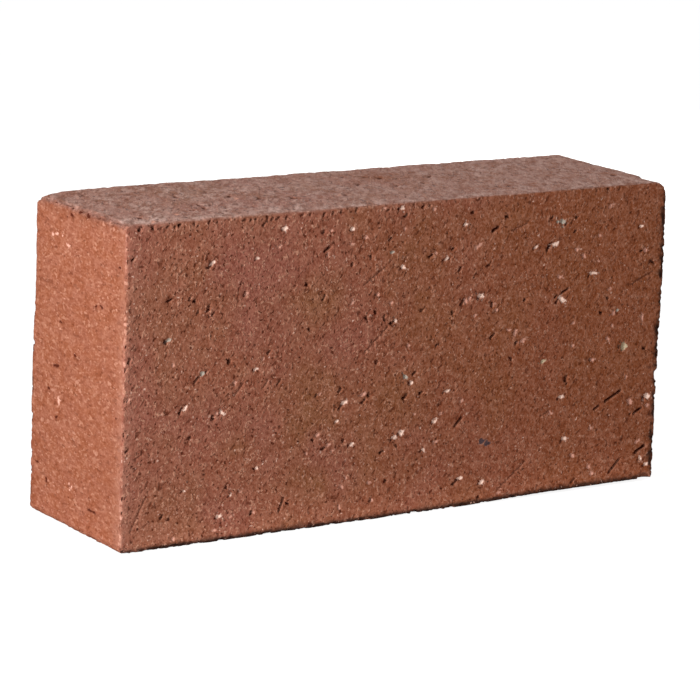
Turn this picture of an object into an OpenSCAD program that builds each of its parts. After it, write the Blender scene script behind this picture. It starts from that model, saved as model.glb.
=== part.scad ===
// Standard straight refractory brick, standing on one of its long narrow sides.
// A stiff clay column was pushed through a die whose opening is the bed face's outline, and wires cut it to
// thickness. So the ends, the top and the underside carry the die's corners, and a rubbed arris runs round
// each of the two cut bed faces.
// X runs along the length, Y from the front bed face to the back one, and Z up. The origin is the middle of
// the underside.

/* [Size] */
// Length from end to end
brick_length = 230; // [120:1:460]
// Height as it stands, which is the width of a bed face
brick_height = 114; // [60:1:240]
// Thickness from bed face to bed face
brick_thickness = 65; // [30:1:150]

/* [Edges] */
// Radius of the die's corners, where the ends turn into the top and the underside
corner_r = 2.5; // [1:0.5:12]
// Radius of the rubbed arris round each bed face
arris_r = 1.2; // [0.4:0.1:4]

/* [Hidden] */
$fn = 64;

// The arris runs round the die's corners, so it is no rounder than they are
arris = min(arris_r, corner_r);

// How far a cut starts outside of the brick
overcut = 1;

// Corners of a bed face in turn: its end, its side as the brick stands, and the angle where its arc starts
corners = [
    [ 1,  1, 0],
    [-1,  1, 90],
    [-1, -1, 180],
    [ 1, -1, 270],
];

// Sharp corner of a bed face's outline, seen from the outline's middle, and the centre of the arc that rounds it
function sharp(corner) = [corner[0] * brick_length, corner[1] * brick_height] / 2;
function centre(corner) = sharp(corner) - corner_r * [corner[0], corner[1]];

// What a round of radius r takes off a square corner at the origin that opens towards +X and +Y
module spandrel(r) {
    difference() {
        translate([-overcut, -overcut]) square(r + overcut);
        translate([r, r]) circle(r);
    }
}

// The die's opening, which is the outline of a bed face
module die_outline() {
    difference() {
        square([brick_length, brick_height], center = true);
        for (corner = corners)
            translate(sharp(corner)) rotate(corner[2] + 180) spandrel(corner_r);
    }
}

// Section of the cut that rounds the arris, with the middle of a corner's arc at the origin
module arris_section() {
    translate([corner_r, 0]) mirror([1, 0]) spandrel(arris);
}

// Cut that rubs the arris off all round a bed face that lies at z = 0, with the brick above it
module arris_cut() {
    for (i = [0 : len(corners) - 1]) {
        corner = corners[i];
        next = corners[(i + 1) % len(corners)];
        run = norm(centre(next) - centre(corner));
        translate(centre(corner)) rotate(corner[2]) {
            rotate_extrude(angle = 90) arris_section();
            rotate(90) translate([0, run, 0]) rotate([90, 0, 0]) linear_extrude(run) arris_section();
        }
    }
}

module brick() {
    color([0.56, 0.34, 0.27])
        translate([0, 0, brick_height / 2])
            rotate([90, 0, 0])
                difference() {
                    linear_extrude(brick_thickness, center = true) die_outline();
                    for (face = [0, 1])
                        mirror([0, 0, face])
                            translate([0, 0, -brick_thickness / 2]) arris_cut();
                }
}

brick();
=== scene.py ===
import math

import bpy
import numpy as np
from mathutils import Matrix, Vector


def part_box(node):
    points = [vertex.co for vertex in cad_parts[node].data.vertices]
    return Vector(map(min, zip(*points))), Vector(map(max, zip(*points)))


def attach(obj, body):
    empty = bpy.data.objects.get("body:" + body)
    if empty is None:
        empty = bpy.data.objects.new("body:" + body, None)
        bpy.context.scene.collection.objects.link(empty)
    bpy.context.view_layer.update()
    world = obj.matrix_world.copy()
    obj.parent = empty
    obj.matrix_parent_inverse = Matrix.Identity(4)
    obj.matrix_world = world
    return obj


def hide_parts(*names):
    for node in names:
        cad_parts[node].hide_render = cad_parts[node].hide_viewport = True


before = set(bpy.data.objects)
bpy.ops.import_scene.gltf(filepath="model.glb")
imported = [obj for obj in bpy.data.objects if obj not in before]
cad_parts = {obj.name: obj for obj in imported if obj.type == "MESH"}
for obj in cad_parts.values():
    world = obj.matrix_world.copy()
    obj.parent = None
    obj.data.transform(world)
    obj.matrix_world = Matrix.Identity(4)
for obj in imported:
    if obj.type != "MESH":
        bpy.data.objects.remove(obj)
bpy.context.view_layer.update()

# Brick: one block of stiff clay body with crushed grog in it, pushed through a die, cut to thickness by
# wires and fired. The wires dragged grains across the two bed faces and tore hollows beside them. The faces
# that the die shaped are smoother, and handling has rubbed the arrises and knocked two corners.
MM = 0.001
brick_low, brick_high = (np.array(corner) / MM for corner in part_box("brick"))
brick_size = brick_high - brick_low
length, thickness, height = brick_size

# The die's corners, and how far from the front bed face one of them is worn rounder
corner_r = 2.5
worn_corner_r = 5.5
worn_way = 14.0

# The faces lie this far inside of the brick's box, which leaves room for their roughness
proud = 0.15

random = np.random.default_rng(230)

# Each side's own axis, and whether it is the far side on it
SIDES = {
    "left_end": (0, 0),
    "right_end": (0, 1),
    "front_bed": (1, 0),
    "back_bed": (1, 1),
    "underside": (2, 0),
    "top": (2, 1),
}

# The skin's points lie about this far apart along X, Y and Z
spacing = np.array([0.36, 0.45, 0.36])
steps = np.ceil(brick_size / spacing).astype(int)
step = brick_size / steps


def box_skin():
    """Grids on the six sides of the sharp box, in whole steps from its lowest corner. Points that sides share
    along the edges are one point. Gives the points, the outward quads and each side's point numbers."""
    points, quads, grids, first = [], [], {}, 0
    for name, (axis, far) in SIDES.items():
        across = [k for k in range(3) if k != axis]
        u, v = np.meshgrid(*(np.arange(steps[k] + 1) for k in across), indexing="ij")
        side = np.empty((*u.shape, 3), int)
        side[..., across[0]] = u
        side[..., across[1]] = v
        side[..., axis] = far * steps[axis]
        number = first + np.arange(u.size).reshape(u.shape)
        ring = [number[:-1, :-1], number[1:, :-1], number[1:, 1:], number[:-1, 1:]]
        outward = bool(far) != (axis == 1)
        quads.append(np.stack(ring if outward else ring[::-1], -1).reshape(-1, 4))
        points.append(side.reshape(-1, 3))
        grids[name] = number
        first += u.size
    points = np.concatenate(points)
    place = (points[:, 0] * (steps[1] + 1) + points[:, 1]) * (steps[2] + 1) + points[:, 2]
    _, kept, welded = np.unique(place, return_index=True, return_inverse=True)
    grids = {name: welded[grid] for name, grid in grids.items()}
    return points[kept], welded[np.concatenate(quads)], grids


def fall(r, inner, outer):
    """1 up to inner, 0 from outer on, and the smooth step 3t^2 - 2t^3 between them."""
    t = np.clip((outer - r) / (outer - inner), 0, 1)
    return t * t * (3 - 2 * t)


def bell(x, width):
    """A bell curve: 1 at 0, falling off as exp(-(x / width)^2)."""
    return np.exp(-((x / width) ** 2))


def squeeze(a, b):
    """How far a point of a square corner comes in towards the middle of its round, from which it lies at
    (a, b): the larger of the two over their hypotenuse, so that the square's sides land on the arc."""
    corner = (a > 0) & (b > 0)
    hypotenuse = np.hypot(a, b, where=corner, out=np.ones_like(a))
    return np.where(corner, np.maximum(a, b) / hypotenuse, 1.0), corner


def arris_radius(x, y, z, out_x):
    """The arris is rubbed rounder towards the left end, in a straight line along the brick, and by more up
    the right end and where the left end's top meets the back."""
    behind = (y > 0) * (1 - fall(z, 50, 95)) * fall(x + length / 2, 10, 30)
    return 0.8 - 0.4 * x / (length / 2) + 0.5 * np.maximum(out_x, 0) + 1.9 * behind


def rounded(point):
    """Carries points of the sharp box to the rounded brick: squeezed first into the die's corners, in the
    outline of a bed face, and then into the arris between that outline and the bed face. Gives the places
    and the outward normals."""
    x, y, z = (point - [length / 2, thickness / 2, 0]).T
    upper = z > height / 2
    worn = fall(y + thickness / 2, worn_way - 1.5, worn_way + 1.5) * (upper & (x > 0))
    r = corner_r + (worn_corner_r - corner_r) * worn
    a, b = np.abs(x) - (length / 2 - r), np.where(upper, z - (height - r), r - z)
    come_in, corner = squeeze(a, b)
    a, b = a * come_in, b * come_in

    reach = np.maximum(np.hypot(a, b), 1e-9)
    inset = np.where(corner, r - reach, np.minimum(r - a, r - b))
    out_x = np.where(corner, a / reach, a > b) * np.sign(x)
    out_z = np.where(corner, b / reach, a <= b) * np.where(upper, 1, -1)
    x = np.where(corner, np.sign(x) * (length / 2 - r + a), x)
    z = np.where(corner, np.where(upper, height - r + b, r - b), z)

    arris_r = arris_radius(x, y, z, out_x)
    under_face = thickness / 2 - np.abs(y)
    a, b = arris_r - inset, arris_r - under_face
    come_in, roll = squeeze(a, b)
    a, b = a * come_in, b * come_in
    reach = np.maximum(np.hypot(a, b), 1e-9)
    moved = np.where(roll, arris_r - a - inset, 0)
    y_rolled = np.where(roll, np.sign(y) * (thickness / 2 - arris_r + b), y)
    on_bed = under_face < 1e-6
    tilt, face = np.where(roll, a / reach, ~on_bed), np.where(roll, b / reach, on_bed)
    places = np.stack([x - out_x * moved, y_rolled, z - out_z * moved], -1)
    return places, np.stack([out_x * tilt, np.sign(y) * face, out_z * tilt], -1)


class Face:
    """One side of the brick as a height field over its own two axes, in millimetres from the brick's lowest
    corner, with where it is grog, of what tint, and where a hollow has painted shade or, on its lit wall, a
    painted highlight."""

    def __init__(self, name):
        across = [k for k in range(3) if k != SIDES[name][0]]
        self.steps = step[across]
        self.u, self.v = (np.arange(steps[k] + 1) * step[k] for k in across)
        self.shape = (len(self.u), len(self.v))
        self.relief, self.grog, self.hollow_shade, self.lit_wall = (np.zeros(self.shape) for _ in range(4))
        self.tint = np.tile(PINK, (*self.shape, 1))
        self.frayed = self.speckle(0.7)

    def speckle(self, size, stretch=1.0, angle=0.0):
        """Random heights of spread 1: white noise with its waves shorter than size damped by a bell curve,
        where size is stretch times as long in the direction of angle."""
        waves = (np.fft.fftfreq(n, d) for n, d in zip(self.shape, self.steps))
        wave_u, wave_v = np.meshgrid(*waves, indexing="ij")
        c, s = math.cos(math.radians(angle)), math.sin(math.radians(angle))
        wave = np.hypot((wave_u * c + wave_v * s) * stretch, wave_v * c - wave_u * s)
        damped = np.fft.fft2(random.standard_normal(self.shape)) * np.exp(-2 * (wave * size) ** 2)
        field = np.fft.ifft2(damped).real
        return field / field.std()

    def near(self, u, v, long, short, angle, fray, slot=False):
        """The part of the grid near (u, v), and how far its points lie out from there, where 1 is an ellipse
        or a slot of this length and width turned by angle, with its edge frayed by noise. In a slot, the way
        out is counted from its middle line."""
        reach = max(long, short)
        part = tuple(
            slice(*np.searchsorted(axis, (middle - reach, middle + reach)))
            for axis, middle in ((self.u, u), (self.v, v))
        )
        du, dv = np.meshgrid(self.u[part[0]] - u, self.v[part[1]] - v, indexing="ij")
        c, s = math.cos(math.radians(angle)), math.sin(math.radians(angle))
        lengthwise, across = du * c + dv * s, dv * c - du * s
        if slot:
            past_end = np.clip(np.abs(lengthwise) - (long - short) / 2, 0, None)
            r = np.hypot(past_end, across) * 2 / short
        else:
            r = np.hypot(lengthwise * 2 / long, across * 2 / short)
        return part, r * (1 + fray * self.frayed[part])

    def hollow(self, u, v, long, short, angle, depth, gloom=1.0, fray=0.25, shade=-0.35):
        """Tears out a slot with round ends: flat at its depth inside, with walls that rise by the smooth
        step. Shade is painted on the side of shade, where its wall overhangs, and a painted highlight on its
        other wall, which faces the light."""
        part, r = self.near(u, v, long, short, angle, fray, slot=True)
        self.relief[part] = np.minimum(self.relief[part], -depth * fall(r, 0.5, 1.1))
        part, r = self.near(u + shade, v, long, short, angle, fray, slot=True)
        self.hollow_shade[part] = np.maximum(self.hollow_shade[part], gloom * fall(r, 0.65, 1.1))
        part, r = self.near(u - shade, v, long, short, angle, fray, slot=True)
        self.lit_wall[part] = np.maximum(self.lit_wall[part], fall(r, 0.5, 1.1))

    def grain(self, u, v, long, short, angle, colour, dip):
        """Sets in a grain as a tilted flat: level with the face on its right, and lower by dip on its
        left."""
        part, r = self.near(u, v, long, short, angle, 0.25)
        inside = fall(r, 0.8, 1.1)
        c, s = math.cos(math.radians(angle)), math.sin(math.radians(angle))
        rise = np.clip((self.u[part[0]] - u) / math.hypot(long * c, short * s) - 0.5, -1, 0)[:, None]
        self.relief[part] += (dip * rise + 0.05 * self.frayed[part] - self.relief[part]) * inside
        self.grog[part] = np.maximum(self.grog[part], inside)
        self.hollow_shade[part] *= 1 - inside
        self.tint[part] = np.where(inside[..., None] > 0.02, colour, self.tint[part])

    def small_hollows(self, size, level, depth):
        """Small hollows wherever a random field stands above level, with painted shade on one side of each.
        """
        over = np.clip((self.speckle(size) - level) / 0.6, 0, 1)
        self.relief = np.minimum(self.relief, -depth * over)
        self.hollow_shade = np.maximum(self.hollow_shade, 0.8 * np.roll(over, -1, axis=0))

    def small_grains(self, size, level, low_colour, high_colour):
        """Small grains wherever a random field stands above level, between two colours by another field."""
        over = np.clip((self.speckle(size) - level) / 0.5, 0, 1) * (self.grog == 0)
        pale = np.clip(0.4 + 0.4 * self.speckle(3), 0, 1)[..., None]
        self.grog = np.maximum(self.grog, 0.85 * over)
        self.hollow_shade = self.hollow_shade * (1 - over)
        self.tint = np.where(over[..., None] > 0, low_colour + (high_colour - low_colour) * pale, self.tint)


# The grog's colours. The cream is paler than the same grog on the left end: partly a painted highlight
# for the lit sides of the grains
CREAM_AND_HIGHLIGHT = np.array((1.00, 0.71, 0.58))
PINK = np.array((0.66, 0.33, 0.245))
END_GRAIN = np.array((0.42, 0.19, 0.125))
END_PALE = PINK + 0.12 * (CREAM_AND_HIGHLIGHT - PINK)
GROG = {
    "cream": CREAM_AND_HIGHLIGHT,
    "pink": PINK,
    "grey": (0.46, 0.41, 0.34),
    "ochre": (0.62, 0.50, 0.33),
    "iron": (0.06, 0.05, 0.06),
}
faces = {name: Face(name) for name in SIDES}

# The hollows of the front bed face: place from the left end and the underside, length, width and slope
front_hollows = [
    (5.2, 111.6, 1.5, 1.3, 60), (10.3, 111.7, 1.7, 0.8, 120), (20.8, 112.1, 1.3, 1.0, 20),
    (3.0, 101.7, 1.7, 0.8, 35), (32.8, 97.6, 2.8, 0.9, 60), (17.7, 86.7, 2.6, 0.8, 25),
    (25.2, 86.5, 1.7, 0.7, 70), (27.2, 85.5, 1.2, 0.9, 20), (32.7, 82.8, 2.9, 0.8, 70),
    (28.6, 81.6, 1.1, 0.8, 60), (34.4, 80.2, 1.3, 0.7, 30), (47.0, 86.4, 2.0, 0.7, 70),
    (16.3, 72.5, 1.9, 1.5, 45), (41.5, 63.2, 1.9, 1.3, 65), (28.8, 58.3, 3.4, 0.9, 53),
    (32.5, 60.6, 1.4, 0.8, 60), (57.4, 65.2, 1.7, 0.9, 35), (2.3, 67.2, 2.2, 0.7, 60),
    (53.8, 110.0, 1.8, 0.8, 50), (22.6, 47.2, 1.3, 1.1, 45), (35.6, 44.3, 2.2, 1.2, 80),
    (26.7, 38.2, 1.2, 1.0, 60), (2.4, 36.2, 1.8, 0.7, 45), (42.1, 18.9, 1.3, 1.1, 90),
    (52.5, 8.6, 1.7, 0.9, 70), (16.4, 11.6, 2.1, 0.7, 62), (19.4, 10.5, 1.1, 0.9, 100),
    (61.8, 54.0, 2.0, 0.7, 50), (78.2, 105.6, 1.4, 1.1, 90), (79.9, 99.5, 3.1, 1.0, 38),
    (98.2, 95.6, 1.2, 1.0, 60), (90.5, 93.3, 1.5, 0.8, 80), (72.1, 87.7, 1.4, 0.9, 140),
    (79.2, 82.5, 2.6, 0.7, 65), (101.2, 81.9, 1.3, 0.9, 30), (97.3, 73.6, 1.5, 1.0, 120),
    (101.2, 75.4, 1.3, 0.8, 130), (104.8, 72.8, 1.9, 0.8, 100), (108.2, 71.0, 1.7, 1.2, 20),
    (73.6, 71.8, 1.5, 0.9, 120), (102.4, 57.3, 1.8, 0.8, 65), (106.0, 101.0, 1.8, 0.7, 35),
    (77.5, 47.8, 1.3, 0.9, 60), (87.4, 48.8, 2.3, 0.9, 42), (87.9, 43.0, 3.0, 1.0, 55),
    (99.4, 45.9, 1.9, 1.2, 60), (97.4, 43.9, 2.2, 1.0, 45), (76.9, 31.9, 1.6, 0.9, 130),
    (81.2, 28.3, 1.6, 0.9, 20), (89.6, 30.4, 1.3, 1.1, 60), (64.6, 10.2, 5.8, 0.8, 70),
    (67.2, 10.2, 1.6, 0.8, 150), (108.1, 13.7, 1.5, 1.1, 60), (101.9, 7.2, 1.6, 1.1, 70),
    (106.0, 24.4, 1.5, 1.0, 20), (112.3, 26.0, 1.3, 0.9, 110), (109.2, 111.6, 1.3, 1.0, 60),
    (112.3, 109.0, 1.4, 0.9, 20), (141.2, 108.3, 1.5, 0.9, 150), (156.2, 105.6, 1.7, 1.2, 45),
    (151.5, 101.5, 4.2, 1.0, 28), (133.0, 95.6, 1.3, 0.8, 10), (123.7, 93.7, 2.5, 0.8, 25),
    (131.7, 92.2, 1.1, 0.9, 60), (136.5, 87.9, 2.3, 0.9, 48), (149.3, 88.7, 1.4, 0.9, 20),
    (138.4, 76.2, 3.3, 1.0, 55), (145.0, 77.0, 1.8, 0.8, 85), (151.6, 74.0, 2.1, 1.0, 85),
    (121.0, 74.4, 1.5, 0.9, 20), (134.1, 72.2, 1.3, 1.1, 130), (166.1, 74.6, 1.3, 1.0, 60),
    (152.5, 62.5, 2.4, 1.1, 35), (128.2, 61.3, 1.9, 0.8, 30), (163.2, 59.0, 1.7, 0.9, 40),
    (118.8, 51.9, 2.3, 1.0, 35), (115.0, 43.7, 2.9, 1.1, 45), (121.8, 44.4, 1.5, 1.0, 10),
    (139.0, 32.0, 4.9, 0.9, 45), (138.7, 9.7, 3.3, 1.0, 45), (149.4, 2.9, 1.3, 1.1, 60),
    (161.2, 53.0, 1.5, 0.8, 130), (175.6, 93.0, 3.3, 1.1, 60), (188.0, 103.2, 1.2, 1.0, 90),
    (187.8, 98.1, 1.4, 0.9, 30), (184.3, 76.4, 3.9, 0.8, 25), (180.2, 74.7, 1.9, 0.8, 30),
    (201.6, 66.5, 1.7, 1.0, 0), (204.2, 72.0, 1.4, 1.0, 60), (211.0, 53.0, 1.4, 1.1, 90),
    (222.9, 51.4, 1.7, 1.2, 15), (186.7, 43.3, 2.5, 1.4, 75), (209.4, 34.5, 9.0, 1.0, 26),
    (202.0, 30.8, 3.3, 0.8, 25), (221.5, 27.6, 4.9, 0.9, 25), (218.0, 26.8, 1.5, 1.1, 60),
    (211.5, 7.5, 7.2, 0.9, 45), (223.5, 12.8, 5.9, 1.1, 27), (192.3, 4.0, 2.5, 0.8, 40),
    (218.8, 88.6, 1.4, 1.0, 20), (224.5, 84.0, 2.6, 0.9, 140), (197.8, 49.3, 1.3, 0.9, 45),
    (183.3, 101.0, 1.6, 0.9, 30), (177.0, 104.0, 1.3, 1.0, 60),
]
# Its grains, in the same way, by what they are
front_grains = {
    "cream": [
        (34.2, 98.5, 1.3, 1.0, 45), (51.5, 98.4, 1.1, 1.0, 60), (52.2, 59.7, 1.2, 1.1, 60),
        (24.5, 48.8, 2.1, 0.9, 50), (39.1, 45.8, 1.5, 1.0, 140), (53.9, 24.6, 1.3, 1.0, 40),
        (25.0, 19.7, 1.1, 0.8, 0), (43.7, 15.9, 1.2, 0.9, 0), (39.2, 9.1, 1.8, 1.3, 0),
        (62.4, 107.8, 1.8, 1.2, 15), (90.1, 105.8, 1.3, 0.9, 20), (110.6, 112.0, 1.6, 1.3, 40),
        (112.1, 90.6, 1.4, 0.9, 0), (109.7, 71.6, 1.7, 1.1, 110), (89.8, 44.4, 2.1, 1.1, 25),
        (86.5, 37.8, 1.2, 0.9, 0), (93.0, 28.5, 1.8, 0.9, 45), (111.4, 29.3, 1.8, 1.7, 0),
        (113.9, 30.7, 1.8, 1.3, 70), (128.4, 33.1, 1.5, 1.4, 0), (124.1, 23.2, 1.8, 1.1, 140),
        (133.3, 43.9, 2.3, 1.1, 5), (117.7, 48.7, 1.5, 1.1, 60), (140.7, 10.8, 1.4, 1.3, 0),
        (150.7, 8.4, 2.2, 1.0, 50), (138.3, 104.2, 1.8, 0.9, 0), (130.4, 92.3, 1.9, 0.9, 35),
        (146.6, 77.5, 2.0, 1.8, 0), (169.7, 93.5, 1.3, 1.2, 0), (182.8, 73.3, 3.3, 1.5, 145),
        (184.9, 36.5, 1.6, 1.3, 0), (187.4, 20.5, 1.8, 1.4, 10), (223.7, 8.9, 1.7, 1.5, 0),
        (226.6, 6.4, 1.6, 1.4, 0), (178.7, 94.2, 3.2, 1.2, 20), (197.2, 81.9, 3.3, 1.1, 0),
        (218.4, 97.9, 1.5, 1.1, 0), (225.5, 32.8, 2.3, 2.0, 0),
    ],
    "pink": [
        (39.5, 107.7, 1.1, 0.9, 60), (47.9, 86.2, 1.1, 0.9, 60), (55.3, 63.0, 1.0, 0.8, 60),
        (19.3, 64.0, 1.4, 0.9, 50), (44.0, 55.7, 1.1, 1.0, 0), (37.2, 45.6, 1.3, 0.8, 0),
        (2.6, 53.8, 1.3, 1.1, 0), (43.4, 18.2, 1.0, 0.9, 0), (47.4, 16.7, 1.0, 0.7, 130),
        (43.7, 8.3, 1.3, 0.9, 30), (45.2, 8.8, 1.0, 0.7, 30), (53.5, 8.6, 1.1, 0.8, 90),
        (37.3, 4.2, 1.6, 0.7, 0), (21.3, 3.0, 1.4, 0.9, 110), (60.4, 102.0, 1.4, 0.9, 10),
        (81.2, 106.0, 1.1, 0.9, 0), (80.2, 98.0, 1.0, 0.9, 120), (95.6, 102.5, 1.4, 1.0, 160),
        (90.1, 100.5, 1.2, 0.8, 0), (102.8, 112.4, 1.7, 0.9, 0), (112.0, 104.3, 1.2, 0.9, 90),
        (90.9, 79.4, 2.0, 0.8, 40), (107.7, 78.3, 1.6, 1.0, 20), (101.9, 81.6, 1.1, 0.9, 60),
        (78.7, 48.1, 1.4, 1.0, 30), (96.9, 46.4, 2.3, 1.3, 15), (78.5, 33.5, 1.6, 0.9, 0),
        (83.2, 29.4, 1.3, 1.0, 0), (85.2, 27.3, 1.4, 0.8, 20), (74.2, 27.4, 1.2, 1.0, 0),
        (91.2, 16.7, 1.3, 0.8, 150), (89.4, 13.7, 1.9, 0.8, 155), (101.1, 13.7, 1.5, 0.8, 0),
        (88.7, 6.2, 1.7, 1.0, 100), (102.7, 7.3, 1.3, 0.8, 90), (131.0, 35.9, 1.4, 1.1, 30),
        (119.4, 36.9, 1.0, 0.9, 0), (129.3, 25.6, 1.3, 0.8, 20), (158.2, 3.3, 1.8, 1.0, 10),
        (139.7, 39.5, 1.2, 0.9, 0), (124.3, 110.5, 1.3, 1.1, 0), (143.8, 95.7, 3.3, 1.0, 35),
        (125.8, 94.7, 1.3, 0.8, 150), (139.8, 76.1, 1.4, 1.2, 60), (141.2, 77.0, 1.4, 1.1, 45),
        (153.5, 71.8, 1.3, 1.0, 0), (143.8, 70.5, 1.5, 0.9, 0), (152.6, 74.3, 1.1, 0.8, 80),
        (159.5, 63.8, 1.6, 0.9, 10), (162.4, 62.5, 2.4, 0.9, 55), (165.8, 59.3, 2.5, 1.4, 20),
        (115.8, 62.1, 1.3, 1.1, 0), (203.6, 106.4, 1.6, 1.1, 40), (199.0, 95.8, 1.2, 0.9, 150),
        (188.5, 91.2, 1.6, 0.9, 160), (192.2, 88.6, 1.6, 1.3, 100), (198.8, 86.3, 1.6, 0.8, 0),
        (181.4, 81.7, 2.1, 1.0, 10), (220.6, 88.7, 1.7, 1.4, 0), (205.1, 75.5, 1.6, 0.9, 10),
        (207.3, 66.0, 1.9, 1.1, 45), (188.8, 64.0, 1.3, 1.0, 0), (207.0, 61.5, 1.5, 0.9, 0),
        (221.0, 63.2, 1.9, 1.0, 100), (205.5, 56.3, 1.7, 1.0, 110), (189.0, 55.5, 1.4, 0.9, 0),
        (198.9, 49.2, 1.3, 1.0, 0), (217.5, 31.5, 1.9, 1.7, 0), (225.7, 29.2, 1.5, 1.3, 0),
        (180.3, 30.7, 1.5, 1.0, 10), (191.4, 13.5, 1.5, 1.3, 0), (199.3, 8.4, 1.5, 1.2, 110),
        (200.5, 5.7, 1.8, 1.0, 20), (221.5, 15.7, 1.9, 0.9, 15), (215.1, 41.3, 1.5, 1.0, 80),
        (199.4, 23.3, 1.4, 0.9, 150),
    ],
    "grey": [
        (17.4, 73.2, 1.5, 1.1, 30), (31.1, 60.2, 1.9, 1.2, 150), (107.0, 96.5, 1.4, 1.1, 0),
        (114.9, 50.8, 1.8, 1.2, 150), (181.6, 102.0, 2.1, 1.8, 90), (179.5, 102.2, 1.3, 1.1, 0),
        (209.0, 67.0, 1.5, 1.0, 30),
    ],
    "ochre": [(213.1, 53.0, 2.8, 2.6, 30), (175.8, 50.8, 2.4, 1.0, 30)],
    "iron": [(150.0, 23.6, 2.4, 1.6, 20), (152.2, 22.6, 2.6, 1.8, 160)],
}
# Scratches across it, from end to end, with their width
front_scratches = [
    (96.5, 60.8, 106.7, 70.0, 0.7), (4.0, 7.0, 9.3, 18.0, 0.6), (55.0, 52.2, 57.8, 55.8, 0.6),
    (158.0, 4.5, 170.0, 14.0, 0.8), (95.8, 85.5, 104.5, 91.5, 0.7), (214.0, 76.0, 225.0, 80.5, 0.7),
    (158.0, 100.3, 165.5, 102.5, 0.7), (43.7, 50.7, 47.5, 55.3, 0.8), (176.0, 30.0, 179.5, 31.8, 0.6),
    (5.0, 32.5, 9.0, 35.0, 0.6),
]
# Crumbling pockets: place and how far they spread
front_pockets = [
    (33.0, 82.0, 2.8), (37.6, 43.6, 2.2), (41.5, 7.5, 3.0), (80.5, 31.0, 3.5), (181.0, 102.3, 2.8),
    (113.0, 28.5, 2.6), (142.5, 31.0, 3.0), (127.0, 27.5, 3.0), (91.0, 14.8, 2.5), (43.5, 17.5, 2.0),
    (225.0, 83.5, 2.5), (61.3, 37.5, 2.0), (100.0, 74.3, 3.0),
]
# The left end's hollows and grains, from the front arris and the underside
end_hollows = [
    (4.2, 98.4, 1.6, 0.9, 0), (16.4, 82.7, 1.8, 1.1, 30), (20.0, 82.2, 1.4, 0.7, 160),
    (44.3, 71.7, 1.5, 0.7, 160), (33.8, 62.1, 1.4, 1.1, 160), (47.0, 55.8, 3.4, 1.0, 175),
    (52.0, 46.7, 1.6, 1.1, 0), (46.4, 37.6, 1.5, 1.2, 0), (59.6, 18.5, 2.0, 0.9, 170),
    (52.8, 13.7, 1.8, 1.5, 120), (22.1, 14.3, 1.1, 0.9, 0), (20.5, 10.4, 5.5, 0.8, 0),
    (38.1, 113.0, 1.3, 1.0, 20), (32.9, 112.5, 2.0, 1.1, 160), (26.7, 112.2, 2.6, 1.5, 30),
    (49.3, 113.1, 1.6, 0.8, 0), (38.1, 110.4, 1.8, 0.8, 20), (19.5, 112.6, 1.5, 0.8, 150),
]
end_pale_grains = [
    (50.9, 101.5, 1.9, 1.1, 0), (47.9, 102.1, 1.6, 1.0, 0), (44.2, 102.2, 1.2, 0.8, 0),
    (39.8, 99.5, 2.0, 1.1, 0), (34.6, 15.2, 1.5, 1.1, 150), (36.1, 16.4, 1.3, 0.9, 20),
    (35.6, 14.2, 1.0, 0.7, 0), (44.4, 43.8, 2.4, 1.5, 90),
]
end_grains = [
    (31.7, 53.3, 1.9, 1.1, 0), (29.8, 50.7, 1.5, 1.0, 0), (48.8, 46.9, 3.2, 0.9, 175),
    (56.5, 34.5, 2.2, 1.0, 170), (33.2, 35.0, 1.7, 0.9, 0),
    (31.0, 16.4, 2.0, 1.1, 170), (51.2, 13.8, 1.4, 1.0, 0),
    (20.8, 14.4, 1.4, 0.9, 0), (40.5, 31.2, 2.0, 0.8, 0), (17.5, 31.3, 1.8, 0.9, 0),
    (9.5, 57.6, 1.8, 0.9, 0), (15.7, 111.0, 1.8, 1.0, 20), (8.6, 110.6, 1.6, 1.2, 0),
]
# Where the wire tore the front bed face in a row just under the top, from the left end
torn_row = [
    16.1, 18.8, 26.2, 32.2, 35.2, 42.1, 45.7, 48.5, 50.6, 53.1, 55.2, 57.0, 59.8, 62.9, 69.4, 72.5, 78.1,
    81.9, 85.0, 91.4, 104.6, 115.3, 119.7, 122.3, 143.9, 196.8, 202.4, 207.7, 221.0,
]
# Heights of the grains and the chips that show on the arris between the left end and the front bed face
arris_grains = [
    109.9, 105.3, 99.6, 93.8, 81.8, 79.7, 77.5, 74.3, 73.4, 66.5, 62.6, 58.3, 56.5, 45.1, 37.4, 26.4, 18.4,
    16.4, 15.6, 13.1, 6.4, 5.1, 3.9,
]
arris_chips = [72.0, 64.1, 53.2, 41.7, 19.5, 14.7]
# The top's hollows and grains, from the left end and the front bed face
top_hollows = [
    (127.2, 49.0), (131.1, 45.0), (127.9, 29.6), (150.1, 41.2), (140.2, 30.2), (99.5, 20.2), (116.3, 37.1),
    (219.1, 18.9), (41.3, 38.4), (59.5, 33.1), (38.9, 15.8), (44.2, 20.6), (40.7, 21.4), (33.8, 14.8),
    (9.8, 8.5), (78.8, 22.3), (67.2, 25.3),
]
top_grains = [(59.4, 28.3), (24.5, 9.3), (97.2, 20.0), (10.7, 1.0)]


def hollow_depth(width):
    """Hollows are about as deep as they are wide, up to what a grain leaves."""
    return min(1.2 * width, 1.4)


# Flaws read this much smaller in the photograph than they are
grain_growth = 1.15
groove_growth = 1.25
end_hollow_growth = 1.2

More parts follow.
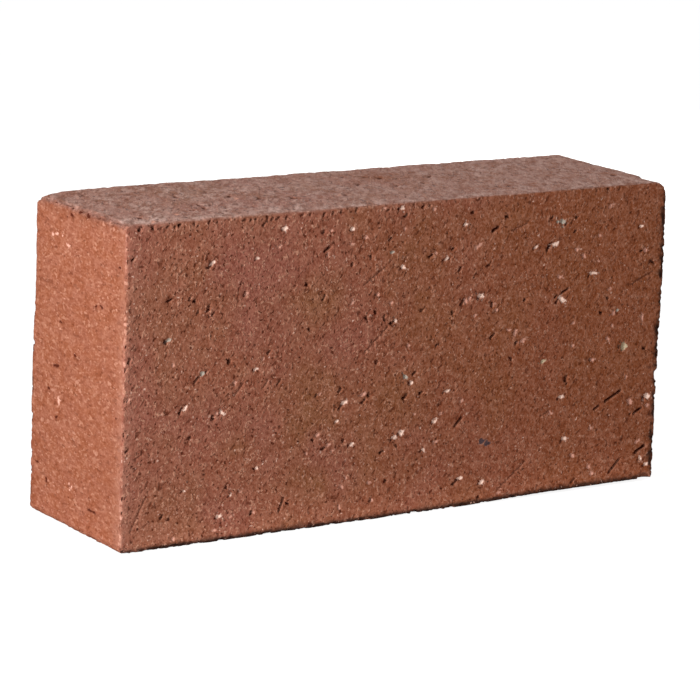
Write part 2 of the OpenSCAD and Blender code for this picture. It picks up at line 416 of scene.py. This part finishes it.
front = faces["front_bed"]
for u, v, long, short, angle in front_hollows:
    groove = long > 4 * short
    wide, fray = (groove_growth * short, 0.1) if groove else (short, 0.25)
    front.hollow(u, v, long, wide, angle, hollow_depth(short), fray=fray)
for u in torn_row:
    long, short, angle, under, gloom = random.uniform((0.7, 0.5, 0, 1.0, 0.4), (1.8, 0.9, 80, 2.5, 0.9))
    front.hollow(u, height - under, long, short, angle, 0.6, gloom=gloom)
for u0, v0, u1, v1, wide in front_scratches:
    slope = math.degrees(math.atan2(v1 - v0, u1 - u0))
    run = math.hypot(u1 - u0, v1 - v0)
    front.hollow((u0 + u1) / 2, (v0 + v1) / 2, run, wide, slope, 0.3, gloom=0.35, fray=0.4)
for kind, grains in front_grains.items():
    for u, v, long, short, angle in grains:
        # The wire tore a hollow at the lower left of each cream grain, and tilted all but the iron
        if kind == "cream":
            front.hollow(u - 0.6 * long, v - 0.3 * short, 0.8 * long, 0.6 * short, 60, 0.6)
        dip = 0 if kind == "iron" else 0.6 * short
        front.grain(u, v, grain_growth * long, grain_growth * short, angle, GROG[kind], dip)

left_end = faces["left_end"]
for u, v, long, short, angle in end_hollows:
    long, short = end_hollow_growth * long, end_hollow_growth * short
    left_end.hollow(u, v, long, short, angle, 0.5, gloom=0.65, shade=0.1)
for u, v, long, short, angle in end_grains:
    left_end.grain(u, v, long, short, angle, END_GRAIN, 0.1)
for u, v, long, short, angle in end_pale_grains:
    left_end.grain(u, v, long, short, angle, END_PALE, 0)
for v in arris_grains:
    long, short, pale = random.uniform((0.8, 0.6, 0.0), (1.6, 1.2, 1.0))
    nub = END_GRAIN + (PINK - END_GRAIN) * pale**2
    front.grain(0.4, v, long, short, 90, nub, 0)
    left_end.grain(0.4, v, long, short, 90, nub, 0)
for v in arris_chips:
    front.hollow(0.9, v, random.uniform(1.0, 1.6), random.uniform(0.7, 1.1), 80, 0.7)

top = faces["top"]
for u, v in top_hollows:
    top.hollow(u, v, *random.uniform((3.5, 1.4, 40), (5.5, 2.1, 75)), 0.45, gloom=0.55, shade=0)
for u, v in top_grains:
    top.grain(u, v, 3.5, 1.4, 60, PINK, 0.2)

# The back bed face and the right end have flaws of the same kinds and sizes as the sides seen, at random
behind = np.random.default_rng(114)
back = faces["back_bed"]
for u, v, long, short, angle in behind.uniform((2, 2, 1.1, 0.6, 20), (228, 112, 2.8, 1.1, 80), (90, 5)):
    back.hollow(u, v, long, short, angle, hollow_depth(short), gloom=0.8, shade=0.35)
for u, v, long, short, angle in behind.uniform((8, 8, 5.0, 1.0, 25), (222, 106, 9.0, 1.3, 50), (6, 5)):
    back.hollow(u, v, long, short, angle, hollow_depth(short), fray=0.1, shade=0.35)
back_grains = behind.uniform((2, 2, 1.0, 0.8, 0, 0), (228, 112, 2.1, 1.4, 180, 1), (120, 6))
for u, v, long, short, angle, pale in back_grains:
    back.grain(u, v, long, short, angle, PINK + (CREAM_AND_HIGHLIGHT - PINK) * pale**2, 0.3 * short)
right_end = faces["right_end"]
for u, v, long, short, angle in behind.uniform((2, 3, 1.4, 1.0, 0), (63, 112, 3.4, 1.6, 180), (16, 5)):
    right_end.hollow(u, v, long, short, angle, 0.5, gloom=0.8, shade=0.1)
right_grains = behind.uniform((2, 3, 1.2, 0.8, 0, 0), (63, 112, 2.6, 1.4, 180, 1), (20, 6))
for u, v, long, short, angle, pale in right_grains:
    right_end.grain(u, v, long, short, angle, END_GRAIN + (PINK - END_GRAIN) * pale, 0.1)

crumbly = np.zeros(front.shape)
for u, v, wide in front_pockets:
    away = np.hypot(front.u[:, None] - u, front.v - v)
    crumbly = np.maximum(crumbly, bell(away, wide))

# How large small hollows are on each face, how rare they and small grains are, in spreads of a random field,
# and the palest grains' colour
calmer = 0.5 * front.u[:, None] / length
end_calm = 3.3 - 1.2 * bell(height - 2.5 - left_end.v, 3)
front.small_hollows(0.6, 2.5 + calmer - 1.2 * crumbly, 0.5)
front.small_grains(0.6, 2.0 + 0.5 * calmer - 0.8 * crumbly, END_GRAIN, CREAM_AND_HIGHLIGHT)
for name, hollow_size, hollow_level, grain_level, palest in (
    ("back_bed", 0.5, 2.6, 2.2, CREAM_AND_HIGHLIGHT),
    ("left_end", 0.5, end_calm, 2.3, PINK),
    ("right_end", 0.5, 3.0, 2.7, PINK),
    ("underside", 0.5, 2.8, 2.7, PINK),
    ("top", 0.8, 2.4, 2.8, PINK),
):
    faces[name].small_hollows(hollow_size, hollow_level, 0.5)
    faces[name].small_grains(0.45, grain_level, END_GRAIN, palest)

lattice, quads, grids = box_skin()
sharp = lattice * step
places, normals = rounded(sharp)
from_edge = np.sort(np.minimum(sharp, brick_size - sharp), axis=1)[:, 1]
relief, grog, hollow_shade, lit_wall, rough, uneven = (np.zeros(len(places)) for _ in range(6))
tint = np.zeros((len(places), 3))
for name, face in faces.items():
    np.minimum.at(relief, grids[name], face.relief)
    np.maximum.at(grog, grids[name], face.grog)
    np.maximum.at(hollow_shade, grids[name], face.hollow_shade)
    np.maximum.at(lit_wall, grids[name], face.lit_wall)
    tint[grids[name]] = face.tint
    rough[grids[name]] = 0.02 * face.speckle(0.8) + 0.03 * face.speckle(3) + 0.05 * face.speckle(22)
    uneven[grids[name]] = 0.6 * face.speckle(1.6) + 0.5 * face.speckle(5)
rise = np.clip(relief + rough, None, proud) - proud * (1 - np.clip(-normals[:, 2], 0, 1))

# Edges are worn unevenly, the left and upper arrises of the front bed face and the top's back arris the least
from_left, from_front, from_base = sharp.T
from_right, from_top = length - from_left, height - from_base
from_arris = np.maximum(from_front, np.minimum(from_left, from_top))
from_top_back = np.maximum(thickness - from_front, from_top)
from_left_back = np.maximum(thickness - from_front, from_left)
edge_wear = 0.55 - 0.4 * bell(np.minimum(from_arris, from_top_back), 3) + 0.35 * bell(from_left_back, 3)
rise -= edge_wear * np.clip(uneven + 0.3, 0, None) * bell(from_edge, 1.5)
places = places + normals * rise[:, None]

# Chips along every edge: how far apart they are and how deep, on the crisp edges and on the others
chipped = np.zeros(len(places), bool)
half_size = brick_size / 2
middle = (brick_high + brick_low) / 2
crisp_edge, worn_edge = (14.0, 0.4), (11.0, 0.8)


def chip(beside, edge_place, outward, depth):
    """Takes what lies in a ball off an edge: points in it go out from its middle to its skin."""
    radius = depth + random.uniform(0.3, 1.0)
    ball = edge_place + outward * (radius - depth)
    outwards = places[beside] - ball
    reach = np.linalg.norm(outwards, axis=1)
    ball_skin = radius * (1 + 0.6 * rough[beside])
    inside = reach < ball_skin
    hit = beside[inside]
    places[hit] = ball + outwards[inside] * (ball_skin[inside] / reach[inside])[:, None]
    chipped[hit] = True


for axis in range(3):
    for near_far in ((-1, -1), (-1, 1), (1, -1), (1, 1)):
        outward = np.insert(np.array(near_far, float), axis, 0) / math.sqrt(2)
        edge_place = middle + half_size * np.sign(outward)
        away = np.delete(np.abs(places - edge_place), axis, axis=1).max(axis=1)
        beside = np.flatnonzero(away < 5)
        long_and_high = axis == 0 and outward[2] > 0
        front_left = outward[0] < 0 and outward[1] < 0
        apart, deepest = crisp_edge if long_and_high or front_left else worn_edge
        for share in random.uniform(-1, 1, int(brick_size[axis] / apart)):
            edge_place[axis] = middle[axis] + half_size[axis] * share
            r = corner_r if axis == 1 else arris_radius(*edge_place, outward[0])
            chip(beside, edge_place, outward, 0.41 * r + random.uniform(0.0, deepest))

# Two larger nicks: in the right arris, and in the edge under the front near it
nicks = [((115.0, -32.5, 40.5), (1, -1, 0), 1.9), ((111.0, -32.5, 0.8), (0, -1, -1), 2.4)]
for nick, outward, depth in nicks:
    beside = np.flatnonzero(np.abs(places - nick).max(axis=1) < 6)
    chip(beside, np.array(nick), np.array(outward) / math.sqrt(2), depth)

# The corner knocked off behind the left end's top, as far as the blow reached along the three edges
knock_reach = np.array([15.0, 8.0, 4.2])
from_corner = np.abs(places - [brick_low[0], brick_high[1], brick_high[2]]) / knock_reach
beyond = np.clip(1 - from_corner.sum(1) + rough, 0, None)
inwards = np.array([1, -1, -1]) / knock_reach
places = places + (inwards / (inwards @ inwards)) * beyond[:, None]
chipped |= beyond > 0.02

# The right end leans in towards the top, and the edge under its front is worn away
lean = 0.4 * (1 - fall(from_base, 0, 40)) + 0.7 * (1 - fall(from_base, 88, 112))
places[:, 0] -= lean * (1 - fall(from_left, 150, length))
base_wear = 1.1 * (1 - fall(from_left, 125, 190)) * np.clip(1 - from_front / 9, 0, 1)
places[:, 2] = np.maximum(places[:, 2], base_wear)

# Hands have rubbed the arrises of the front bed face paler, most of all at its left and low down
handled = (0.25 + 0.75 * np.exp(-from_left / 70)) * (0.75 + 0.45 * fall(from_base, 55, 95))
beside_arris = bell(from_arris, 4) * (1 - 0.7 * bell(from_arris, 0.8))
rubbed = np.maximum(0.45 * handled * beside_arris, 0.35 * chipped)

# Dust lies on the top, deepest along its front, but for one bare patch; its pale grey-pink is also a
# painted sheen on the top
up = np.clip(normals[:, 2], 0, 1)
bare = bell(from_left - 131, 13) * bell(from_front - 44, 9)
front_dust_and_sheen = (0.25 + 0.75 * np.exp(-from_left / 90)) * bell(from_front, 7)
dust_and_sheen = up * (0.8 + 0.8 * front_dust_and_sheen) * (1 - 0.8 * bare)

# The ends slid along the die, and are smoother than the faces that the wires cut and the dusty top
coarse_skin = 0.25 + 0.75 * np.maximum(np.abs(normals[:, 1]), up)

# Painted shade: a painted contact shadow up from the worn base, less so on the left end, painted shade in a
# broken line along the far arrises, and a darker band along the left end's top
ragged = np.clip(0.8 + 0.6 * uneven, 0, 1)
above_base = np.where(from_base > 0, np.clip(from_base - base_wear, 0, None), from_edge)
edge_shade = fall(above_base, 1.1, 1.9) * np.where(from_left < from_front, 0.2, 1.0)
right_arris = np.maximum(from_right, from_front)
edge_shade = np.maximum(edge_shade, ragged * fall(right_arris - 0.6 * uneven, 1.3, 2.3))
edge_shade = np.maximum(edge_shade, ragged * bell(from_left_back, 1.2))
edge_shade = edge_shade * (1 - 0.7 * chipped)
edge_shade = np.maximum(edge_shade, 0.42 * ragged * bell(np.maximum(from_left, from_top), 3.5))

# What is kept when the skin is thinned: flaws of the sides seen, with the faces round them, the larger flaws
# of the sides behind, the edges of the sides seen, and chips
kept_edge = 1.0
seen_side = (from_front == 0) | (from_left == 0) | (from_top == 0)
flawed = seen_side & ((relief < -0.2) | (grog > 0.3))
flawed[quads[flawed[quads].any(axis=1)]] = True
flawed |= (relief < -0.45) | (grog > 0.9)
flawed |= (from_edge < kept_edge) & (np.minimum(np.minimum(from_front, from_left), from_top) < kept_edge)
flawed |= chipped

skin = bpy.data.meshes.new("brick_skin")
skin.vertices.add(len(places))
skin.vertices.foreach_set("co", (places * MM).ravel())
skin.loops.add(quads.size)
skin.loops.foreach_set("vertex_index", quads.ravel())
skin.polygons.add(len(quads))
skin.polygons.foreach_set("loop_start", np.arange(0, quads.size, 4))
skin.update(calc_edges=True)
layers = {
    "grog": grog,
    "hollow_shade": hollow_shade,
    "lit_wall": lit_wall,
    "rubbed": rubbed,
    "up": up,
    "dust_and_sheen": dust_and_sheen,
    "edge_shade": edge_shade,
    "coarse_skin": coarse_skin,
}
for name, values in layers.items():
    skin.attributes.new(name, "FLOAT", "POINT").data.foreach_set("value", values)
skin.attributes.new("tint", "FLOAT_COLOR", "POINT").data.foreach_set(
    "color", np.column_stack([tint, np.ones(len(tint))]).ravel()
)
facing = np.empty(3 * len(places), np.float32)
skin.vertex_normals.foreach_get("vector", facing)
skin.attributes.new("facing", "FLOAT_VECTOR", "POINT").data.foreach_set("vector", facing)

# Faces are thinned where the brick is plain, so that they gather in its flaws. The dense skin's normals are
# carried over.
most_triangles = 196_000
dense = bpy.data.objects.new("dense_brick", skin)
bpy.context.scene.collection.objects.link(dense)
plain = dense.vertex_groups.new(name="plain")
plain.add(np.flatnonzero(~flawed).tolist(), 1.0, "REPLACE")
thin = dense.modifiers.new("thin", "DECIMATE")
thin.ratio = most_triangles / (2 * len(quads))
thin.vertex_group = plain.name
graph = bpy.context.evaluated_depsgraph_get()
brick_mesh = bpy.data.meshes.new_from_object(
    dense.evaluated_get(graph), preserve_all_data_layers=True, depsgraph=graph
)
brick_mesh.name = "fired_brick"
bpy.data.objects.remove(dense)
bpy.data.meshes.remove(skin)
thinned = np.empty(3 * len(brick_mesh.vertices), np.float32)
brick_mesh.vertices.foreach_get("co", thinned)
inside_box = np.clip(thinned.reshape(-1, 3), brick_low * MM, brick_high * MM)
brick_mesh.vertices.foreach_set("co", inside_box.ravel())
brick_mesh.update()
brick_mesh.shade_smooth()
kept_facing = np.empty_like(thinned)
brick_mesh.attributes["facing"].data.foreach_get("vector", kept_facing)
kept_facing = kept_facing.reshape(-1, 3)
kept_facing /= np.linalg.norm(kept_facing, axis=1, keepdims=True)
brick_mesh.normals_split_custom_set_from_vertices(kept_facing)
brick = bpy.data.objects.new("fired_brick", brick_mesh)
bpy.context.scene.collection.objects.link(brick)


def node(tree, kind, inputs=None, **settings):
    """Adds a shader node. An input is given by name or number, as a value or as the socket that feeds it."""
    made = tree.nodes.new("ShaderNode" + kind)
    for key, value in settings.items():
        setattr(made, key, value)
    for key, value in (inputs or {}).items():
        if isinstance(value, bpy.types.NodeSocket):
            tree.links.new(value, made.inputs[key])
        else:
            made.inputs[key].default_value = value
    return made


clay = bpy.data.materials.new("fired_clay")
clay.use_nodes = True
clay_tree = clay.node_tree
at = node(clay_tree, "TexCoord").outputs["Object"]


def noise(where, scale, detail=2.0, roughness=0.5):
    """Noise with features of about 1 / scale metres."""
    settings = {"Vector": where, "Scale": scale, "Detail": detail, "Roughness": roughness}
    return node(clay_tree, "TexNoise", settings).outputs["Fac"]


def spread(value, low, high, to_low=0.0, to_high=1.0):
    """Carries low..high to to_low..to_high, and stops at both."""
    return node(clay_tree, "MapRange", {0: value, 1: low, 2: high, 3: to_low, 4: to_high}).outputs[0]


def math_of(kind, a, b):
    """The sum, product or the like of two values."""
    return node(clay_tree, "Math", {0: a, 1: b}, operation=kind).outputs[0]


def blend(share, a, b):
    """Mixes colour b into colour a by share."""
    return node(clay_tree, "Mix", {0: share, 6: a, 7: b}, data_type="RGBA").outputs[2]


def carried(name, output="Fac"):
    """What the mesh carries under this name."""
    return node(clay_tree, "Attribute", attribute_name=name).outputs[output]


BODY = (0.292, 0.096, 0.054, 1)
BROWN = (0.258, 0.101, 0.046, 1)
MAUVE = (0.305, 0.101, 0.071, 1)
REDDER = (0.268, 0.074, 0.025, 1)
SLID = (0.258, 0.078, 0.037, 1)
SLID_PINK = (0.268, 0.088, 0.049, 1)
PALER = (0.450, 0.200, 0.130, 1)
DARKER = (0.140, 0.032, 0.012, 1)
SPECK = (0.520, 0.250, 0.165, 1)
PIT_SHADE_COLOUR = (0.090, 0.017, 0.006, 1)
HOLLOW_SHADE_COLOUR = (0.052, 0.004, 0.001, 1)
RUBBED = (0.410, 0.195, 0.140, 1)
DARK_DUST_AND_SHEEN = (0.275, 0.140, 0.104, 1)
PALE_DUST_AND_SHEEN = (0.640, 0.410, 0.347, 1)
ROSY_DUST_AND_SHEEN = (0.430, 0.220, 0.172, 1)
EDGE_SHADE_COLOUR = (0.026, 0.012, 0.009, 1)


def dragged(turn, stretch):
    """Object coordinates in which a pattern is drawn out by stretch, along X as this turn carries it."""
    drawn = {"Vector": at, "Rotation": turn, "Scale": (stretch, 1, 1)}
    return node(clay_tree, "Mapping", drawn, vector_type="TEXTURE").outputs[0]


def either(share, a, b):
    """Coordinates a where share is 0, and b where it is 1."""
    return node(clay_tree, "Mix", {0: share, 4: a, 5: b}, data_type="VECTOR").outputs[1]


# The pattern is dragged out upwards to the right by the wires, slantwise on the top, and across the ends
by_wire = dragged((0, math.radians(-50), 0), 1.7)
on_top = dragged((0, 0, math.radians(56)), 2.2)
on_end = dragged((0, 0, math.radians(90)), 1.8)
coarse_share = carried("coarse_skin")
is_top = spread(carried("up"), 0.80, 0.81)
is_end = spread(coarse_share, 0.44, 0.45, 1.0, 0.0)
way = either(is_end, either(is_top, by_wire, on_top), on_end)
even = either(is_end, either(is_top, at, on_top), on_end)
fine = noise(even, 1400, 1.0, 0.6)
middle_size = noise(even, 800, 1.0)
coarse = noise(even, 380, 1.0)
patchy = noise(even, 170, 2.0, 0.6)
pitted = spread(noise(even, 750, 1.0), 0.34, 0.25)
specked = spread(noise(even, 850, 1.0), 0.63, 0.72)
dented = spread(noise(way, 560, 1.0), 0.37, 0.27)
grained = spread(noise(even, 560, 1.0), 0.63, 0.73)

colour = blend(spread(noise(at, 45, 3), 0.38, 0.62), BODY, BROWN)
colour = blend(spread(noise(at, 28, 2), 0.45, 0.65), colour, MAUVE)
along = node(clay_tree, "SeparateXYZ", {"Vector": at}).outputs["X"]
colour = blend(spread(along, -0.05, 0.07, 0.0, 0.8), colour, REDDER)
colour = blend(spread(along, -0.115, -0.075, 0.6, 0.0), colour, MAUVE)
mottled = blend(spread(noise(on_end, 210, 2), 0.40, 0.60), SLID, SLID_PINK)
colour = blend(spread(coarse_share, 0.25, 0.6, 0.9, 0.0), colour, mottled)
calm_end = spread(coarse_share, 0.25, 1.0, 0.65, 1.0)
for pattern, share in ((fine, 0.5), (middle_size, 0.45), (coarse, 0.25), (patchy, 0.1)):
    lighter = math_of("MULTIPLY", spread(pattern, 0.5, 0.75, 0.0, share), calm_end)
    colour = blend(lighter, colour, PALER)
    deeper = math_of("MULTIPLY", spread(pattern, 0.5, 0.25, 0.0, share), calm_end)
    colour = blend(deeper, colour, DARKER)
rare_end = spread(coarse_share, 0.25, 1.0, 0.55, 1.0)
calm_right = math_of("MULTIPLY", rare_end, spread(along, -0.03, 0.09, 1.0, 0.5))
# Painted shade in the small pits that dented and pitted mark, and paler specks
for mark, place_share, share, mark_colour in (
    (dented, rare_end, 0.65, PIT_SHADE_COLOUR),
    (grained, rare_end, 0.55, SPECK),
    (specked, calm_right, 0.85, SPECK),
    (pitted, calm_right, 0.85, PIT_SHADE_COLOUR),
):
    shown = math_of("MULTIPLY", place_share, share)
    colour = blend(math_of("MULTIPLY", mark, shown), colour, mark_colour)
worn_through = spread(noise(at, 600, 3, 0.6), 0.35, 0.65, 0.2, 1.0)
colour = blend(math_of("MULTIPLY", carried("rubbed"), worn_through), colour, RUBBED)
# Dust colours, which also carry a painted sheen on the top
dust_and_sheen_colour = blend(spread(noise(way, 480, 3, 0.6), 0.38, 0.62), DARK_DUST_AND_SHEEN, PALE_DUST_AND_SHEEN)
rosy_here = spread(noise(way, 120, 2), 0.48, 0.64, 0.0, 0.5)
rosy_to_right = spread(along, -0.09, 0.0, 0.0, 0.3)
dust_and_sheen_colour = blend(math_of("MAXIMUM", rosy_here, rosy_to_right), dust_and_sheen_colour, ROSY_DUST_AND_SHEEN)
patches = spread(noise(way, 200, 3, 0.6), 0.38, 0.62, 0.45, 0.95)
dust_and_sheen_share = math_of("MULTIPLY", carried("dust_and_sheen"), patches)
colour = blend(dust_and_sheen_share, colour, dust_and_sheen_colour)
# Painted shade along the base and the far arrises, with a darker band along the left end's top
colour = blend(math_of("MULTIPLY", carried("edge_shade"), 0.95), colour, EDGE_SHADE_COLOUR)
# A painted highlight on the lit wall of each hollow, then painted shade inside it
colour = blend(math_of("MULTIPLY", carried("lit_wall"), 0.2), colour, PALER)
colour = blend(spread(carried("hollow_shade"), 0.1, 0.7, 0.0, 0.95), colour, HOLLOW_SHADE_COLOUR)
grain_colour = blend(spread(noise(at, 1600), 0.3, 0.7, 0.0, 0.2), carried("tint", "Color"), BODY)
colour = blend(carried("grog"), colour, grain_colour)

# How far the pattern stands out, in metres
raised = math_of("MULTIPLY", pitted, -0.0003)
for pattern, metres in (
    (fine, 0.00017),
    (middle_size, 0.00014),
    (coarse, 0.0001),
    (dented, -0.00022),
    (grained, 0.00018),
    (specked, 0.0001),
    (dust_and_sheen_share, 0.0001),
):
    raised = math_of("ADD", raised, math_of("MULTIPLY", pattern, metres))
bump = node(clay_tree, "Bump", {"Height": math_of("MULTIPLY", raised, coarse_share), "Distance": 1.0})
bsdf = clay_tree.nodes["Principled BSDF"]
clay_tree.links.new(colour, bsdf.inputs["Base Color"])
clay_tree.links.new(bump.outputs[0], bsdf.inputs["Normal"])
bsdf.inputs["Roughness"].default_value = 0.85
bsdf.inputs["Specular IOR Level"].default_value = 0.02
brick_mesh.materials.append(clay)

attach(brick, "root")
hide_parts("brick")

# Floor: a plain white studio sweep that the brick stands on. The camera sees it partly as its own light, so
# that it reads as white paper and keeps the brick's shadow.
floor_mesh = bpy.data.meshes.new("floor")
half = 6.0
floor_corners = [(-half, -half, 0), (half, -half, 0), (half, half, 0), (-half, half, 0)]
floor_mesh.from_pydata(floor_corners, [], [(0, 1, 2, 3)])
floor = bpy.data.objects.new("floor", floor_mesh)
bpy.context.scene.collection.objects.link(floor)
paper = bpy.data.materials.new("white_paper")
paper.use_nodes = True
paper_tree = paper.node_tree
paper_tree.nodes.clear()


def seen(tree):
    """1 for what the camera sees, straight or by a reflection or through glass, and 0 for light."""
    path = node(tree, "LightPath")
    straight, mirrored = path.outputs["Is Camera Ray"], path.outputs["Is Glossy Ray"]
    direct = node(tree, "Math", {0: straight, 1: mirrored}, operation="MAXIMUM").outputs[0]
    through = path.outputs["Is Transmission Ray"]
    return node(tree, "Math", {0: direct, 1: through}, operation="MAXIMUM").outputs[0]


lit = node(paper_tree, "BsdfDiffuse", {"Color": (0.8, 0.8, 0.8, 1)})
shaded = node(paper_tree, "BsdfDiffuse", {"Color": (0.25, 0.25, 0.25, 1)})
glow = node(paper_tree, "Emission", {"Color": (1, 1, 1, 1), "Strength": 0.9})
paper_seen = node(paper_tree, "AddShader", {0: shaded.outputs[0], 1: glow.outputs[0]})
surface = node(paper_tree, "MixShader", {0: seen(paper_tree), 1: lit.outputs[0], 2: paper_seen.outputs[0]})
node(paper_tree, "OutputMaterial", {"Surface": surface.outputs[0]})
floor_mesh.materials.append(paper)

# Light: a soft lamp low at the left, which grazes the front and fades along it, a wide one low behind for the
# sides that face away, and strips of light off the paper at the foot, in an even pale room.
scene = bpy.context.scene
room = bpy.data.worlds.new("room")
scene.world = room
room.use_nodes = True
room_tree = room.node_tree
room_tree.nodes.clear()
room_light = 0.40
bright = node(room_tree, "MapRange", {0: seen(room_tree), 1: 0.0, 2: 1.0, 3: room_light, 4: 1.0}).outputs[0]
air = node(room_tree, "Background", {"Color": (1, 1, 1, 1), "Strength": bright})
node(room_tree, "OutputWorld", {"Surface": air.outputs[0]})


def hang(lamp, place, turn):
    """Puts a lamp in its place, where the camera doesn't see it."""
    held = bpy.data.objects.new(lamp.name, lamp)
    held.location = place
    held.rotation_euler = turn
    held.visible_camera = False
    scene.collection.objects.link(held)


def area_lamp(name, place, target, size, watts):
    """A square soft lamp that faces its target."""
    lamp = bpy.data.lights.new(name, "AREA")
    lamp.size = size
    lamp.energy = watts
    hang(lamp, place, (Vector(target) - Vector(place)).to_track_quat("-Z", "Y").to_euler())


area_lamp("left_lamp", (-0.70, -0.235, 0.315), (-0.02, 0, 0.057), 0.16, 5.7)
area_lamp("back_lamp", (0.62, 0.78, 0.20), (0, 0, 0.057), 0.30, 4.5)


def foot_glow(name, place, long, wide, strength):
    """Light off the paper at the foot of a side: a strip that lies on the floor and faces up."""
    strip = bpy.data.lights.new(name, "AREA")
    strip.shape = "RECTANGLE"
    strip.size = long
    strip.size_y = wide
    strip.energy = math.pi * long * wide * strength
    hang(strip, place, (math.pi, 0, 0))


glow_wide = 0.012
glow_height = 0.0004
front_glow_place = (0, brick_low[1] * MM - glow_wide / 2, glow_height)
foot_glow("front_foot", front_glow_place, length * MM, glow_wide, 0.7)
left_glow_place = (brick_low[0] * MM - glow_wide / 2, 0, glow_height)
foot_glow("left_foot", left_glow_place, glow_wide, thickness * MM, 0.5)

# Camera: at the photograph's viewing angle, worked out from the brick's outline in it.
yaw, pitch, roll = math.radians(33.96), math.radians(12.72), math.radians(2.27)
focal_px, frame_px = 3239, 700
camera_place = Vector((-639.7, -946.2, 311.6)) * MM
ahead = Vector((math.sin(yaw) * math.cos(pitch), math.cos(yaw) * math.cos(pitch), -math.sin(pitch)))
level = Vector((math.cos(yaw), -math.sin(yaw), 0))
above = level.cross(ahead)
across = math.cos(roll) * level + math.sin(roll) * above
upright = -math.sin(roll) * level + math.cos(roll) * above
lens = bpy.data.cameras.new("camera")
lens.sensor_width = 36
lens.lens = lens.sensor_width * focal_px / frame_px
camera = bpy.data.objects.new("camera", lens)
turned = Matrix((across, upright, -ahead)).transposed()
camera.matrix_world = Matrix.Translation(camera_place) @ turned.to_4x4()
scene.collection.objects.link(camera)
scene.camera = camera
scene.view_settings.view_transform = "Standard"
